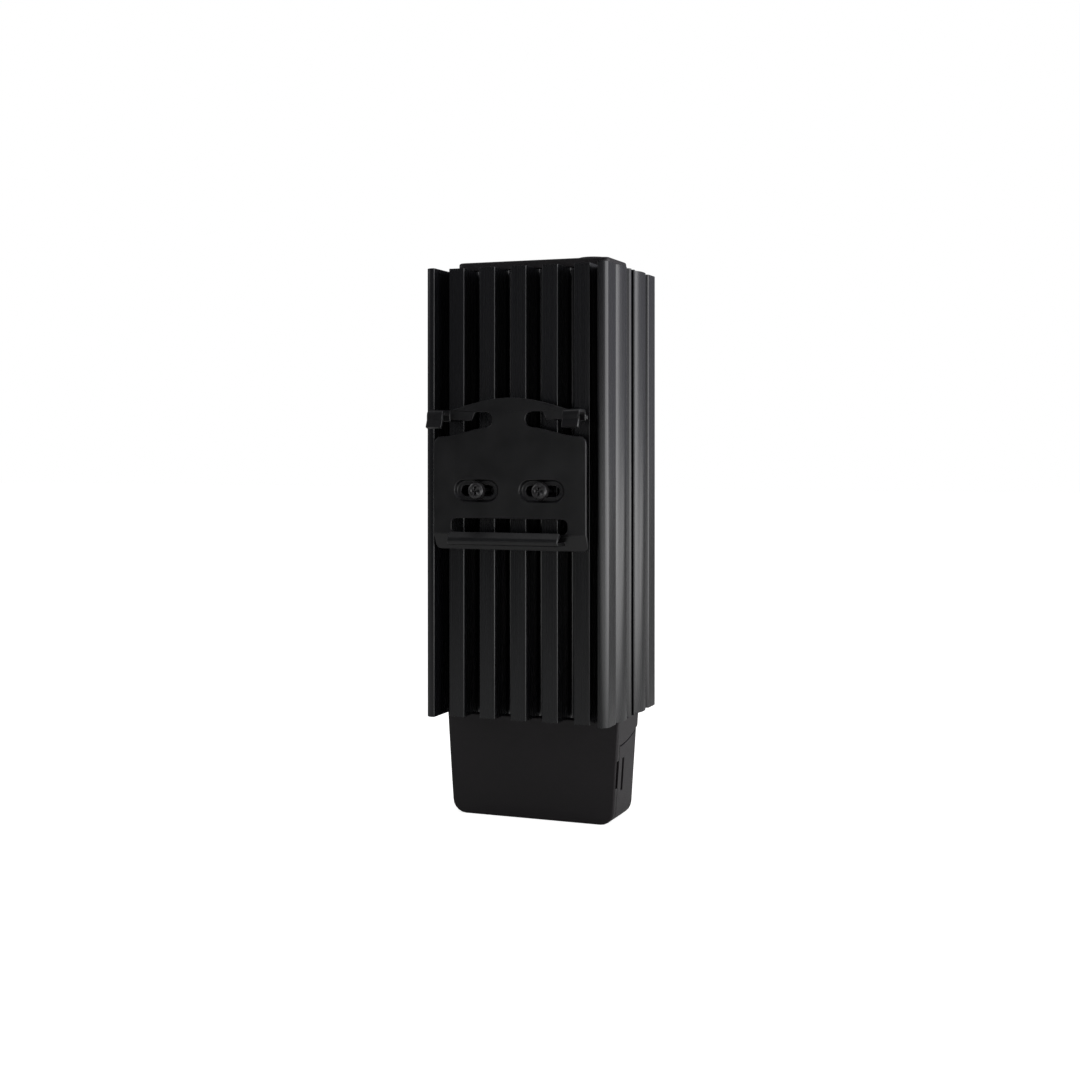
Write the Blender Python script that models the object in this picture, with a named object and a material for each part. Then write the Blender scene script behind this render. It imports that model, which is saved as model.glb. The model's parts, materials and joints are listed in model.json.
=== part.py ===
"""Enclosure heater with a ribbed aluminium body, a rail clip and a terminal housing.

Metres, +Z up. The origin is where a 35 mm mounting rail bears on the clip:
the middle of the clip's flat face, at the height of the rail's centre line.
-Y points at the rail, and +X is to the right for someone who looks at the clip.
"""

import math

import bmesh
import bpy
from mathutils import Matrix

# General fit between pieces that touch, and how round shapes are faceted
GAP = 0.0003
ROUND_STEPS = 24
SMALL_STEPS = 14
SMOOTH_ANGLE = math.radians(35)

# Mounting rail that the clip fits
RAIL_WIDTH = 0.035

# Stamped clip of spring steel
SHEET = 0.0012
CLIP_STANDOFF = 0.0033
CLIP_WIDTH = 0.0505
PLATE_WIDTH = 0.0498
PLATE_CORNER = 0.0024
FOOT_CORNER = 0.0015
SHOULDER_RUN = 0.0038
ARCH_STEPS = 5
ARCH_CURVE = 1.5
PLATE_SHOULDER_Z = 0.0133
PLATE_ARCH_RISE = 0.0028
PLATE_BEND_Z = -0.0164
FOOT_DROP = 0.0050
NECK_WIDTH = 0.0108
NECK_RADIUS = 0.0021
BAR_LOW_Z = 0.0180
BAR_END_HEIGHT = 0.0033
BAR_ARCH_RISE = 0.0037
BAR_END_ROUND = 0.0005
BAR_ARCH_HALF = 0.0190
BAR_STEPS = 8
BAR_RELIEF = 0.0027
BAR_RELIEF_WIDTH = 0.0056
BAR_RELIEF_SLOPE = 0.0014
BAR_RELIEF_ROUND = 0.0007
BEND_RADIUS = 0.0011
HOOK_WIDTH = 0.0052
HOOK_INSET = 0.0006
HOOK_REACH = 0.0046
HOOK_OVERLAP = 0.0017
HOOK_TIP_LENGTH = 0.0024
HOOK_TIP_FLARE = 0.0010
HOOK_PROUD = 0.00003
WINDOW_WIDTH = 0.0380
WINDOW_TOP_Z = -0.0118
WINDOW_CORNER = 0.0016
LIP_WIDTH = 0.0358
LIP_OVERLAP = 0.0017
LIP_FLOOR_DEPTH = 0.0010
LIP_RIM_HEIGHT = 0.0018
LIP_RIM_LEAN = 0.0020
LIP_BEND = 0.0007

# Shallow obround recesses of the clip, each with a collar that stands on a rib
RECESS_OFFSET = 0.0003
RECESS_Z = -0.0033
RECESS_RIM_LENGTH = 0.0148
RECESS_RIM_HEIGHT = 0.0068
RECESS_FLOOR_LENGTH = 0.0134
RECESS_FLOOR_HEIGHT = 0.0060
RECESS_WALL = 0.0009
RECESS_DEPTH = 0.0010
COLLAR_WALL = 0.0010
SLOT_LENGTH = 0.0108
SLOT_HEIGHT = 0.0033

# Extruded body
BODY_WIDTH = 0.0600
BODY_DEPTH = 0.0500
BODY_LENGTH = 0.1400
RAIL_ABOVE_MIDDLE = 0.0042
RIB_WIDTH = 0.0052
RIB_COUNT = 5
RIB_SETBACK = 0.0033
RIB_EDGE = 0.00035
CORNER_FIN = 0.0031
SIDE_GROOVE = 0.0035
CORNER_ROUND = 0.0022
GROOVE_DEPTH = 0.0145
GROOVE_ROOT = 0.0009
FLUTE_START = 0.0035
FLUTE_WIDTH = 0.0125
FLUTE_DEPTH = 0.0013
FLUTE_STEP = 0.0005
FLUTE_EDGE = 0.0003
FLUTE_STEPS = 7
SIDE_SLOT_WIDTH = 0.0052
SIDE_SLOT_DEPTH = 0.0050
SIDE_SLOT_ROOT = 0.0020
SIDE_SLOT_EDGE = 0.0009
PORT_X = 0.0169
CLIP_HOLE_DEPTH = 0.0075

# Pan head screws, one kind throughout
SCREW_SHANK = 0.0023
SCREW_HEAD = 0.0053
SCREW_HEAD_HEIGHT = 0.0024
CLIP_SCREW_LENGTH = 0.0125
COVER_SCREW_LENGTH = 0.0100
HOUSING_SCREW_LENGTH = 0.0100
CLAMP_SCREW_LENGTH = 0.0080
DRIVE_WIDTH = 0.0008
DRIVE_SPAN = 0.0030
DRIVE_DEPTH = 0.0012
DRIVE_FLOOR_SHARE = 0.55
HEAD_CROWN_SHARE = 0.72
HEAD_RIM_SHARE = 0.62
HEAD_SHOULDER_SHARE = 0.92
HEAD_SHOULDER_HEIGHT_SHARE = 0.86

# Heating element: ceramic stones between contact plates in an insulating sleeve
STONE_COUNT = 3
STONE_WIDTH = 0.0200
STONE_THICKNESS = 0.0024
STONE_LENGTH = 0.0320
STONE_SPACE = 0.0008
PLATE_THICKNESS = 0.0008
PLATE_OVERRUN = 0.0010
TAB_WIDTH = 0.0060
LINE_TAB_X = -0.0070
NEUTRAL_TAB_X = 0.0
SLEEVE_WALL = 0.0005
SLEEVE_OVERRUN = 0.0040
SPRING_HEIGHT = 0.0020
SPRING_THICKNESS = 0.0004
SPRING_WIDTH = 0.0160
SPRING_WAVES = 9
SPRING_WAVE_POINTS = 8

# Top cover
COVER_WIDTH = 0.0510
COVER_HEIGHT = 0.0027
COVER_CORNER = 0.0020
COVER_EDGE = 0.0006
COVER_FLOOR = 0.0010
COVER_PLUG_DEPTH = 0.0030
COVER_PEG_LENGTH = 0.0050
BOSS_DIAMETER = 0.0100
BOSS_RISE = 0.0010
BOSS_EDGE = 0.0004

# Terminal housing: a base with a collar, and a cover that snaps on to it
HOUSING_OFFSET = -0.0009
HOUSING_DEPTH = 0.0194
HOUSING_HEIGHT = 0.0323
HOUSING_TOP_WIDTH = 0.0580
HOUSING_BOTTOM_WIDTH = 0.0537
HOUSING_CORNER = 0.0045
HOUSING_EDGE = 0.0006
FRONT_EDGE = 0.0016
WALL = 0.0018
RIM_DEPTH = 0.0022
SEAM_DROP = 0.0078
SEAM_RISE = 0.0036
SEAM_STEPS = 8
COLLAR_ROOF = 0.0020
LATCH_TOP = 0.0125
LATCH_HEIGHT = 0.0084
LATCH_DEPTH = 0.0016
LATCH_RECESS = 0.0007
LATCH_WEB = 0.0007
RELIEF_SLOT_Y = 0.0066
RELIEF_SLOT_WIDTH = 0.0018
RELIEF_SLOT_TOP = 0.0122
RELIEF_SLOT_HEIGHT = 0.0102

# Cable entry and clamp
CABLE_BORE = 0.0066
GROMMET_WALL = 0.0010
GROMMET_FLANGE = 0.0010
GROMMET_LIP = 0.0009
ENTRY_EDGE = 0.0010
CLAMP_X = 0.0090
CLAMP_Z = 0.0065
CLAMP_POST = 0.0056
CLAMP_SPACE = 0.0070
CLAMP_BAR_LENGTH = 0.0240
CLAMP_BAR_HEIGHT = 0.0050
CLAMP_BAR_THICKNESS = 0.0028
CLAMP_RIDGE = 0.0010

# Terminal block
POLE_COUNT = 3
POLE_PITCH = 0.0100
TERMINAL_DROP = 0.0090
TERMINAL_HEIGHT = 0.0130
TERMINAL_DEPTH = 0.0130
TERMINAL_BARRIER = 0.0012
TERMINAL_BARRIER_RISE = 0.0010
BUSH_SIZE = 0.0046
BUSH_LENGTH = 0.0110
BUSH_BORE = 0.0028
TERMINAL_SCREW_PITCH = 0.0062
TERMINAL_SCREW_HEAD = 0.0040
TERMINAL_SCREW_HEAD_HEIGHT = 0.0014
TERMINAL_SCREW_LENGTH = 0.0024

# Leads between the element and the terminals
LEAD_DIAMETER = 0.0019
LUG_THICKNESS = 0.0008
LUG_RING = 0.0064
LUG_TAIL_WIDTH = 0.0030
LUG_TAIL_REACH = 0.0060
LUG_TAIL_DROP = 0.0020
LEAD_STEPS = 9

# Places that follow from the sizes above
BODY_BACK = SHEET + CLIP_STANDOFF
BODY_MIDDLE_Y = BODY_BACK + BODY_DEPTH / 2
BODY_TOP = BODY_LENGTH / 2 - RAIL_ABOVE_MIDDLE
BODY_BOTTOM = BODY_TOP - BODY_LENGTH
RIB_PITCH = (BODY_WIDTH - 2 * CORNER_FIN - 2 * SIDE_GROOVE - RIB_WIDTH) / (RIB_COUNT - 1)
RIB_FACE = BODY_BACK + RIB_SETBACK
RECESS_X = RIB_PITCH + RECESS_OFFSET
HOUSING_BACK = BODY_MIDDLE_Y + HOUSING_OFFSET - HOUSING_DEPTH / 2
HOUSING_FRONT = HOUSING_BACK + HOUSING_DEPTH
HOUSING_TOP = BODY_BOTTOM - GAP
HOUSING_BOTTOM = HOUSING_TOP - HOUSING_HEIGHT
RIM_FRONT = HOUSING_BACK + RIM_DEPTH
SCREW_HOLE = SCREW_SHANK + 2 * GAP
HOOK_TIP_Z = RAIL_WIDTH / 2 - HOOK_OVERLAP
LIP_RIM_Z = -RAIL_WIDTH / 2 + LIP_OVERLAP
BAR_TOP_Z = BAR_LOW_Z + BAR_END_HEIGHT

# The element's stack, from the back to the front of the body's cavity
SLEEVE_INSIDE = STONE_THICKNESS + 2 * PLATE_THICKNESS + 4 * GAP
SLEEVE_DEPTH = SLEEVE_INSIDE + 2 * SLEEVE_WALL
SLEEVE_INSIDE_WIDTH = STONE_WIDTH + 2 * GAP
SLEEVE_WIDTH = SLEEVE_INSIDE_WIDTH + 2 * SLEEVE_WALL
CAVITY_DEPTH = SLEEVE_DEPTH + SPRING_HEIGHT + 3 * GAP
CAVITY_WIDTH = SLEEVE_WIDTH + 2 * GAP
CAVITY_BACK = BODY_MIDDLE_Y - CAVITY_DEPTH / 2
SPRING_Y = CAVITY_BACK + GAP + SPRING_HEIGHT / 2
SLEEVE_Y = CAVITY_BACK + 2 * GAP + SPRING_HEIGHT + SLEEVE_DEPTH / 2
REAR_PLATE_Y = SLEEVE_Y - STONE_THICKNESS / 2 - GAP - PLATE_THICKNESS / 2
FRONT_PLATE_Y = SLEEVE_Y + STONE_THICKNESS / 2 + GAP + PLATE_THICKNESS / 2
STACK_LENGTH = STONE_COUNT * STONE_LENGTH + (STONE_COUNT - 1) * STONE_SPACE
STACK_MIDDLE_Z = (BODY_TOP + BODY_BOTTOM) / 2
PLATE_BOTTOM_Z = STACK_MIDDLE_Z - STACK_LENGTH / 2 - PLATE_OVERRUN
TAB_END_Z = HOUSING_TOP - COLLAR_ROOF

# The wiring space
TERMINAL_TOP = HOUSING_TOP - TERMINAL_DROP
TERMINAL_MIDDLE_Z = TERMINAL_TOP - TERMINAL_HEIGHT / 2
TERMINAL_BACK = RIM_FRONT + GAP
BUSH_Y = TERMINAL_BACK + TERMINAL_DEPTH / 2
ENTRY_HOLE = CABLE_BORE + 2 * GROMMET_WALL + 2 * GAP
ENTRY_Y = RIM_FRONT + GAP + ENTRY_EDGE + ENTRY_HOLE / 2
CLAMP_CENTRE_Z = HOUSING_BOTTOM + CLAMP_Z
CLAMP_POST_END = RIM_FRONT + CLAMP_SPACE
LUG_Z = HOUSING_TOP - COLLAR_ROOF - GAP


def clear_scene():
    for old in list(bpy.data.objects):
        bpy.data.objects.remove(old, do_unlink=True)


def make_material(name, colour, roughness, metallic):
    material = bpy.data.materials.new(name)
    material.use_nodes = True
    shader = material.node_tree.nodes["Principled BSDF"]
    shader.inputs["Base Color"].default_value = (*colour, 1.0)
    shader.inputs["Roughness"].default_value = roughness
    shader.inputs["Metallic"].default_value = metallic
    material.diffuse_color = (*colour, 1.0)
    return material


def make_object(name, bm, material=None):
    """Turn a bmesh into an object whose faces point out and whose round faces are smooth."""
    bmesh.ops.remove_doubles(bm, verts=bm.verts, dist=1e-7)
    bmesh.ops.recalc_face_normals(bm, faces=bm.faces)
    mesh = bpy.data.meshes.new(name)
    bm.to_mesh(mesh)
    bm.free()
    mesh.shade_smooth()
    mesh.set_sharp_from_angle(angle=SMOOTH_ANGLE)
    if material is not None:
        mesh.materials.append(material)
    made = bpy.data.objects.new(name, mesh)
    bpy.context.collection.objects.link(made)
    return made


def make_helper(name, bm):
    """A shape that only cuts or joins another one."""
    helper = make_object(name, bm)
    helper.hide_render = True
    helper.display_type = "WIRE"
    return helper


def combine(target, helper, operation):
    step = target.modifiers.new(helper.name, "BOOLEAN")
    step.operation = operation
    step.solver = "EXACT"
    step.object = helper


def rounded(corners, steps=3):
    """Points of an outline whose corners (a, b, radius) are replaced by arcs."""
    points = []
    count = len(corners)
    for index, (a, b, radius) in enumerate(corners):
        if radius <= 0:
            points.append((a, b))
            continue
        before = corners[index - 1]
        after = corners[(index + 1) % count]
        in_a, in_b = before[0] - a, before[1] - b
        out_a, out_b = after[0] - a, after[1] - b
        in_length = math.hypot(in_a, in_b)
        out_length = math.hypot(out_a, out_b)
        in_a, in_b = in_a / in_length, in_b / in_length
        out_a, out_b = out_a / out_length, out_b / out_length
        half = math.acos(max(-1.0, min(1.0, in_a * out_a + in_b * out_b))) / 2
        reach = radius / math.sin(half)
        mid_a, mid_b = in_a + out_a, in_b + out_b
        mid_length = math.hypot(mid_a, mid_b)
        centre_a = a + mid_a / mid_length * reach
        centre_b = b + mid_b / mid_length * reach
        tangent = radius / math.tan(half)
        start = math.atan2(b + in_b * tangent - centre_b, a + in_a * tangent - centre_a)
        end = math.atan2(b + out_b * tangent - centre_b, a + out_a * tangent - centre_a)
        sweep = (end - start + math.pi) % (2 * math.pi) - math.pi
        for step in range(steps + 1):
            angle = start + sweep * step / steps
            points.append((centre_a + radius * math.cos(angle), centre_b + radius * math.sin(angle)))
    return points


def strip(corners, thickness, steps=4):
    """Closed outline of a bent strip whose middle line has the corners (a, b, radius)."""
    ends = (0, len(corners) - 1)
    open_corners = [(a, b, 0 if index in ends else radius) for index, (a, b, radius) in enumerate(corners)]
    line = rounded(open_corners, steps)
    left, right = [], []
    for index, (a, b) in enumerate(line):
        before = line[max(index - 1, 0)]
        after = line[min(index + 1, len(line) - 1)]
        first = (a - before[0], b - before[1])
        second = (after[0] - a, after[1] - b)
        normals = []
        for along in (first, second):
            length = math.hypot(*along)
            if length > 0:
                normals.append((-along[1] / length, along[0] / length))
        normal_a = sum(normal[0] for normal in normals)
        normal_b = sum(normal[1] for normal in normals)
        scale = thickness / 2 * len(normals) / (normal_a ** 2 + normal_b ** 2)
        left.append((a + normal_a * scale, b + normal_b * scale))
        right.append((a - normal_a * scale, b - normal_b * scale))
    return left + right[::-1]


def rectangle(centre_a, centre_b, size_a, size_b, radius=0.0, steps=3):
    half_a, half_b = size_a / 2, size_b / 2
    corners = [
        (centre_a - half_a, centre_b - half_b, radius),
        (centre_a + half_a, centre_b - half_b, radius),
        (centre_a + half_a, centre_b + half_b, radius),
        (centre_a - half_a, centre_b + half_b, radius),
    ]
    return rounded(corners, steps)


def circle(centre_a, centre_b, diameter, steps=SMALL_STEPS):
    turn = 2 * math.pi / steps
    return [
        (
            centre_a + diameter / 2 * math.cos(turn * (index + 0.5)),
            centre_b + diameter / 2 * math.sin(turn * (index + 0.5)),
        )
        for index in range(steps)
    ]


def along_x(a, b, height):
    return (height, a, b)


def along_y(a, b, height):
    return (a, height, b)


def along_z(a, b, height):
    return (a, b, height)


def add_prism(bm, outlines, place, low, high):
    """Fill one outline, less any others inside it, and draw it out from low to high."""
    made_edges = []
    made_verts = []
    for outline in outlines:
        ring = [bm.verts.new(place(a, b, low)) for a, b in outline]
        made_verts.append(ring)
        for index, vert in enumerate(ring):
            made_edges.append(bm.edges.new((vert, ring[(index + 1) % len(ring)])))
    if len(outlines) == 1:
        faces = [bm.faces.new(made_verts[0])]
    else:
        filled = bmesh.ops.triangle_fill(bm, use_beauty=True, use_dissolve=False, edges=made_edges)
        faces = [face for face in filled["geom"] if isinstance(face, bmesh.types.BMFace)]
    drawn = bmesh.ops.extrude_face_region(bm, geom=faces, use_keep_orig=True)
    moved = [vert for vert in drawn["geom"] if isinstance(vert, bmesh.types.BMVert)]
    start = place(0.0, 0.0, low)
    end = place(0.0, 0.0, high)
    bmesh.ops.translate(bm, verts=moved, vec=[end[axis] - start[axis] for axis in range(3)])
    return moved


def prism(outlines, place, low, high):
    bm = bmesh.new()
    add_prism(bm, outlines, place, low, high)
    bmesh.ops.recalc_face_normals(bm, faces=bm.faces)
    return bm


def add_box(bm, low, high):
    outline = rectangle(
        (low[0] + high[0]) / 2, (low[1] + high[1]) / 2, high[0] - low[0], high[1] - low[1]
    )
    add_prism(bm, [outline], along_z, low[2], high[2])


def add_taper(bm, start_outline, end_outline, place, low, high):
    """A closed solid between two outlines with the same number of points."""
    first = [bm.verts.new(place(a, b, low)) for a, b in start_outline]
    second = [bm.verts.new(place(a, b, high)) for a, b in end_outline]
    bm.faces.new(first)
    bm.faces.new(second[::-1])
    for index in range(len(first)):
        following = (index + 1) % len(first)
        bm.faces.new((first[index], first[following], second[following], second[index]))


def obround(centre_a, centre_b, length, height, steps=8):
    half = (length - height) / 2
    points = []
    for side in (1, -1):
        for index in range(steps + 1):
            angle = math.pi * (index / steps - 0.5) + (0 if side > 0 else math.pi)
            points.append(
                (
                    centre_a + side * half + height / 2 * math.cos(angle),
                    centre_b + height / 2 * math.sin(angle),
                )
            )
    return points


def turned(name, profile, matrix, material, steps=ROUND_STEPS):
    """Spin a closed half section of (radius, height) points about its own axis."""
    bm = bmesh.new()
    ring = [bm.verts.new((radius, 0.0, height)) for radius, height in profile]
    edges = [bm.edges.new((ring[index], ring[index + 1])) for index in range(len(ring) - 1)]
    if profile[0][0] > 0:
        edges.append(bm.edges.new((ring[-1], ring[0])))
    bmesh.ops.spin(
        bm,
        geom=edges,
        cent=(0, 0, 0),
        axis=(0, 0, 1),
        angle=2 * math.pi,
        steps=steps,
        use_merge=True,
    )
    bmesh.ops.remove_doubles(bm, verts=bm.verts, dist=1e-7)
    bmesh.ops.transform(bm, matrix=matrix, verts=bm.verts)
    return make_object(name, bm, material)


def bevel_edges(bm, edges, width, segments=2):
    bmesh.ops.bevel(
        bm,
        geom=edges,
        offset=width,
        offset_type="OFFSET",
        segments=segments,
        profile=0.5,
        affect="EDGES",
        material=-1,
    )


def face_forward(x, y, z):
    """Put a turned piece's axis along +Y, from its own base towards the front."""
    return Matrix.Translation((x, y, z)) @ Matrix.Rotation(-math.pi / 2, 4, "X")


def face_back(x, y, z):
    return Matrix.Translation((x, y, z)) @ Matrix.Rotation(math.pi / 2, 4, "X")


def face_up(x, y, z):
    return Matrix.Translation((x, y, z))


def face_down(x, y, z):
    return Matrix.Translation((x, y, z)) @ Matrix.Rotation(math.pi, 4, "X")


def pan_screw(name, matrix, shank_length, material, head=SCREW_HEAD, head_height=SCREW_HEAD_HEIGHT):
    """A pan head screw with a cross drive: the head stands on z = 0, the shank goes down."""
    shank = SCREW_SHANK / 2
    tip = shank / 2
    crown = head / 2 * HEAD_CROWN_SHARE
    rim = head_height * HEAD_RIM_SHARE
    profile = [
        (0.0, -shank_length),
        (shank - tip, -shank_length),
        (shank, -shank_length + tip),
        (shank, 0.0),
        (head / 2, 0.0),
        (head / 2, rim),
        (head / 2 * HEAD_SHOULDER_SHARE, head_height * HEAD_SHOULDER_HEIGHT_SHARE),
        (crown, head_height),
        (0.0, head_height),
    ]
    screw = turned(name, profile, matrix, material, steps=SMALL_STEPS)
    span = DRIVE_SPAN * head / SCREW_HEAD
    arm = DRIVE_WIDTH / 2
    reach = span / 2
    cross = [
        (-arm, -reach), (arm, -reach), (arm, -arm), (reach, -arm), (reach, arm), (arm, arm),
        (arm, reach), (-arm, reach), (-arm, arm), (-reach, arm), (-reach, -arm), (-arm, -arm),
    ]
    narrow = [(a * DRIVE_FLOOR_SHARE, b * DRIVE_FLOOR_SHARE) for a, b in cross]
    bm = bmesh.new()
    add_taper(bm, narrow, cross, along_z, head_height - DRIVE_DEPTH, head_height + GAP)
    bmesh.ops.transform(bm, matrix=matrix, verts=bm.verts)
    combine(screw, make_helper(name + "_drive", bm), "DIFFERENCE")
    return screw


def ribbed_side():
    """Corners of one ribbed face from the left to the right corner, depth counted inwards."""
    half = BODY_WIDTH / 2
    corners = [(-half, 0.0, CORNER_ROUND), (-half + CORNER_FIN, 0.0, RIB_EDGE)]
    corners.append((-half + CORNER_FIN, GROOVE_DEPTH, GROOVE_ROOT))
    for index in range(RIB_COUNT):
        centre = (index - (RIB_COUNT - 1) / 2) * RIB_PITCH
        left, right = centre - RIB_WIDTH / 2, centre + RIB_WIDTH / 2
        corners.append((left, GROOVE_DEPTH, GROOVE_ROOT))
        corners.append((left, RIB_SETBACK, RIB_EDGE))
        corners.append((right, RIB_SETBACK, RIB_EDGE))
        corners.append((right, GROOVE_DEPTH, GROOVE_ROOT))
    corners.append((half - CORNER_FIN, GROOVE_DEPTH, GROOVE_ROOT))
    corners.append((half - CORNER_FIN, 0.0, RIB_EDGE))
    return corners


def fluted_side():
    """Points of one narrow side from back to front: a hollow, sunk flute either side of a slot."""
    radius = (FLUTE_WIDTH ** 2 / 4 + FLUTE_DEPTH ** 2) / (2 * FLUTE_DEPTH)
    half_angle = math.asin(FLUTE_WIDTH / 2 / radius)
    points = []
    for side in (-1, 1):
        middle = side * (FLUTE_START + FLUTE_WIDTH / 2)
        flute = [(middle - FLUTE_WIDTH / 2, 0.0, FLUTE_EDGE)]
        for index in range(FLUTE_STEPS + 1):
            angle = half_angle * (2 * index / FLUTE_STEPS - 1)
            depth = FLUTE_STEP + radius * math.cos(angle) - (radius - FLUTE_DEPTH)
            flute.append((middle + radius * math.sin(angle), depth, 0.0))
        flute.append((middle + FLUTE_WIDTH / 2, 0.0, FLUTE_EDGE))
        points.extend(flute)
        if side < 0:
            half_slot = SIDE_SLOT_WIDTH / 2
            points.append((-half_slot, 0.0, SIDE_SLOT_EDGE))
            points.append((-half_slot, SIDE_SLOT_DEPTH, SIDE_SLOT_ROOT))
            points.append((half_slot, SIDE_SLOT_DEPTH, SIDE_SLOT_ROOT))
            points.append((half_slot, 0.0, SIDE_SLOT_EDGE))
    return points


def body_outline():
    """The extruded section, in x and y, counter-clockwise seen from the top."""
    half = BODY_WIDTH / 2
    front = BODY_BACK + BODY_DEPTH
    corners = [(a, BODY_BACK + depth, radius) for a, depth, radius in ribbed_side()]
    corners.append((half, BODY_BACK, CORNER_ROUND))
    corners += [(half - depth, BODY_MIDDLE_Y + along, radius) for along, depth, radius in fluted_side()]
    corners += [(-a, front - depth, radius) for a, depth, radius in ribbed_side()]
    corners.append((-half, front, CORNER_ROUND))
    corners += [(-half + depth, BODY_MIDDLE_Y - along, radius) for along, depth, radius in fluted_side()]
    return rounded(corners, steps=5)


def build_body(material):
    cavity = rectangle(0.0, BODY_MIDDLE_Y, CAVITY_WIDTH, CAVITY_DEPTH, RIB_EDGE, 2)
    ports = [circle(side * PORT_X, BODY_MIDDLE_Y, SCREW_HOLE) for side in (-1, 1)]
    section = [body_outline(), cavity, *ports]
    body = make_object("heatsink_body", prism(section, along_z, BODY_BOTTOM, BODY_TOP), material)
    holes = bmesh.new()
    for side in (-1, 1):
        hole = circle(side * RIB_PITCH, RECESS_Z, SCREW_HOLE)
        add_prism(holes, [hole], along_y, RIB_FACE - GAP, RIB_FACE + CLIP_HOLE_DEPTH)
    combine(body, make_helper("clip_hole_drill", holes), "DIFFERENCE")
    return body


def clip_front_outline():
    """The clip seen from the rail: plate, neck and arched bar in one outline, in x and z."""
    half = CLIP_WIDTH / 2
    plate = PLATE_WIDTH / 2
    neck = NECK_WIDTH / 2
    foot = PLATE_BEND_Z - FOOT_DROP
    arch_top = PLATE_SHOULDER_Z + PLATE_ARCH_RISE
    relief_z = BAR_LOW_Z + BAR_RELIEF
    relief_end = neck + BAR_RELIEF_WIDTH
    right = [(plate, foot, FOOT_CORNER), (plate, PLATE_SHOULDER_Z, PLATE_CORNER)]
    shoulder_start = plate - SHOULDER_RUN
    for index in range(ARCH_STEPS):
        share = index / ARCH_STEPS
        a = shoulder_start + (neck - shoulder_start) * share
        rise = PLATE_ARCH_RISE * math.sin(math.pi / 2 * share) ** ARCH_CURVE
        right.append((a, PLATE_SHOULDER_Z + rise, 0.0))
    right.append((neck, arch_top, NECK_RADIUS))
    right.append((neck, relief_z, NECK_RADIUS))
    right.append((relief_end, relief_z, BAR_RELIEF_ROUND))
    right.append((relief_end + BAR_RELIEF_SLOPE, BAR_LOW_Z, BAR_RELIEF_ROUND))
    hook_inner = half - HOOK_INSET - HOOK_WIDTH
    bend_start = BAR_TOP_Z - BEND_RADIUS - SHEET / 2
    right.append((half, BAR_LOW_Z, BAR_END_ROUND))
    right.append((half, bend_start, BAR_END_ROUND))
    right.append((hook_inner, bend_start, 0.0))
    right.append((hook_inner, BAR_TOP_Z, 0.0))
    for index in range(BAR_STEPS):
        share = index / BAR_STEPS
        a = BAR_ARCH_HALF * (1 - share)
        rise = BAR_ARCH_RISE * math.sin(math.pi / 2 * share)
        right.append((a, BAR_TOP_Z + rise, 0.0))
    top = [(0.0, BAR_TOP_Z + BAR_ARCH_RISE, 0.0)]
    left = [(-a, b, radius) for a, b, radius in reversed(right)]
    return rounded(right + top + left)


def clip_recesses(clip):
    """Join a shallow cup for each screw, and a collar on it that stands on a rib, then sink them."""
    cup_back = RECESS_DEPTH + SHEET
    spread = SHEET / RECESS_DEPTH
    mouth_length = RECESS_RIM_LENGTH + (RECESS_RIM_LENGTH - RECESS_FLOOR_LENGTH) * spread
    mouth_height = RECESS_RIM_HEIGHT + (RECESS_RIM_HEIGHT - RECESS_FLOOR_HEIGHT) * spread
    cup_length = RECESS_FLOOR_LENGTH + 2 * RECESS_WALL
    cup_height = RECESS_FLOOR_HEIGHT + 2 * RECESS_WALL
    collar_length = SLOT_LENGTH + 2 * COLLAR_WALL
    collar_height = SLOT_HEIGHT + 2 * COLLAR_WALL
    cups = bmesh.new()
    collars = bmesh.new()
    pockets = bmesh.new()
    slots = bmesh.new()
    for side in (-1, 1):
        a = side * RECESS_X
        add_prism(cups, [obround(a, RECESS_Z, cup_length, cup_height)], along_y, SHEET / 2, cup_back)
        collar = obround(a, RECESS_Z, collar_length, collar_height)
        add_prism(collars, [collar], along_y, cup_back - SHEET / 2, RIB_FACE - GAP)
        mouth = obround(a, RECESS_Z, mouth_length, mouth_height)
        floor = obround(a, RECESS_Z, RECESS_FLOOR_LENGTH, RECESS_FLOOR_HEIGHT)
        add_taper(pockets, mouth, floor, along_y, -SHEET, RECESS_DEPTH)
        slot = obround(a, RECESS_Z, SLOT_LENGTH, SLOT_HEIGHT)
        add_prism(slots, [slot], along_y, RECESS_DEPTH - SHEET / 2, RIB_FACE)
    combine(clip, make_helper("clip_cups", cups), "UNION")
    combine(clip, make_helper("clip_collars", collars), "UNION")
    combine(clip, make_helper("clip_pockets", pockets), "DIFFERENCE")
    combine(clip, make_helper("clip_slots", slots), "DIFFERENCE")


def clip_hooks(clip):
    """Two hooks bent forward from the bar's ends, over the rail's upper edge."""
    middle = SHEET / 2
    root = middle - HOOK_PROUD
    wall = -HOOK_REACH - middle
    line = [
        (root, BAR_LOW_Z + HOOK_PROUD, 0.0),
        (root, BAR_TOP_Z - middle, BEND_RADIUS),
        (wall, BAR_TOP_Z - middle, BEND_RADIUS),
        (wall, HOOK_TIP_Z + HOOK_TIP_LENGTH, BEND_RADIUS),
        (wall - HOOK_TIP_FLARE, HOOK_TIP_Z, 0.0),
    ]
    hooks = bmesh.new()
    for side in (-1, 1):
        outer = side * (CLIP_WIDTH / 2 - HOOK_INSET)
        inner = outer - side * HOOK_WIDTH
        add_prism(hooks, [strip(line, SHEET)], along_x, min(inner, outer), max(inner, outer))
    combine(clip, make_helper("clip_hooks", hooks), "UNION")


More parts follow.
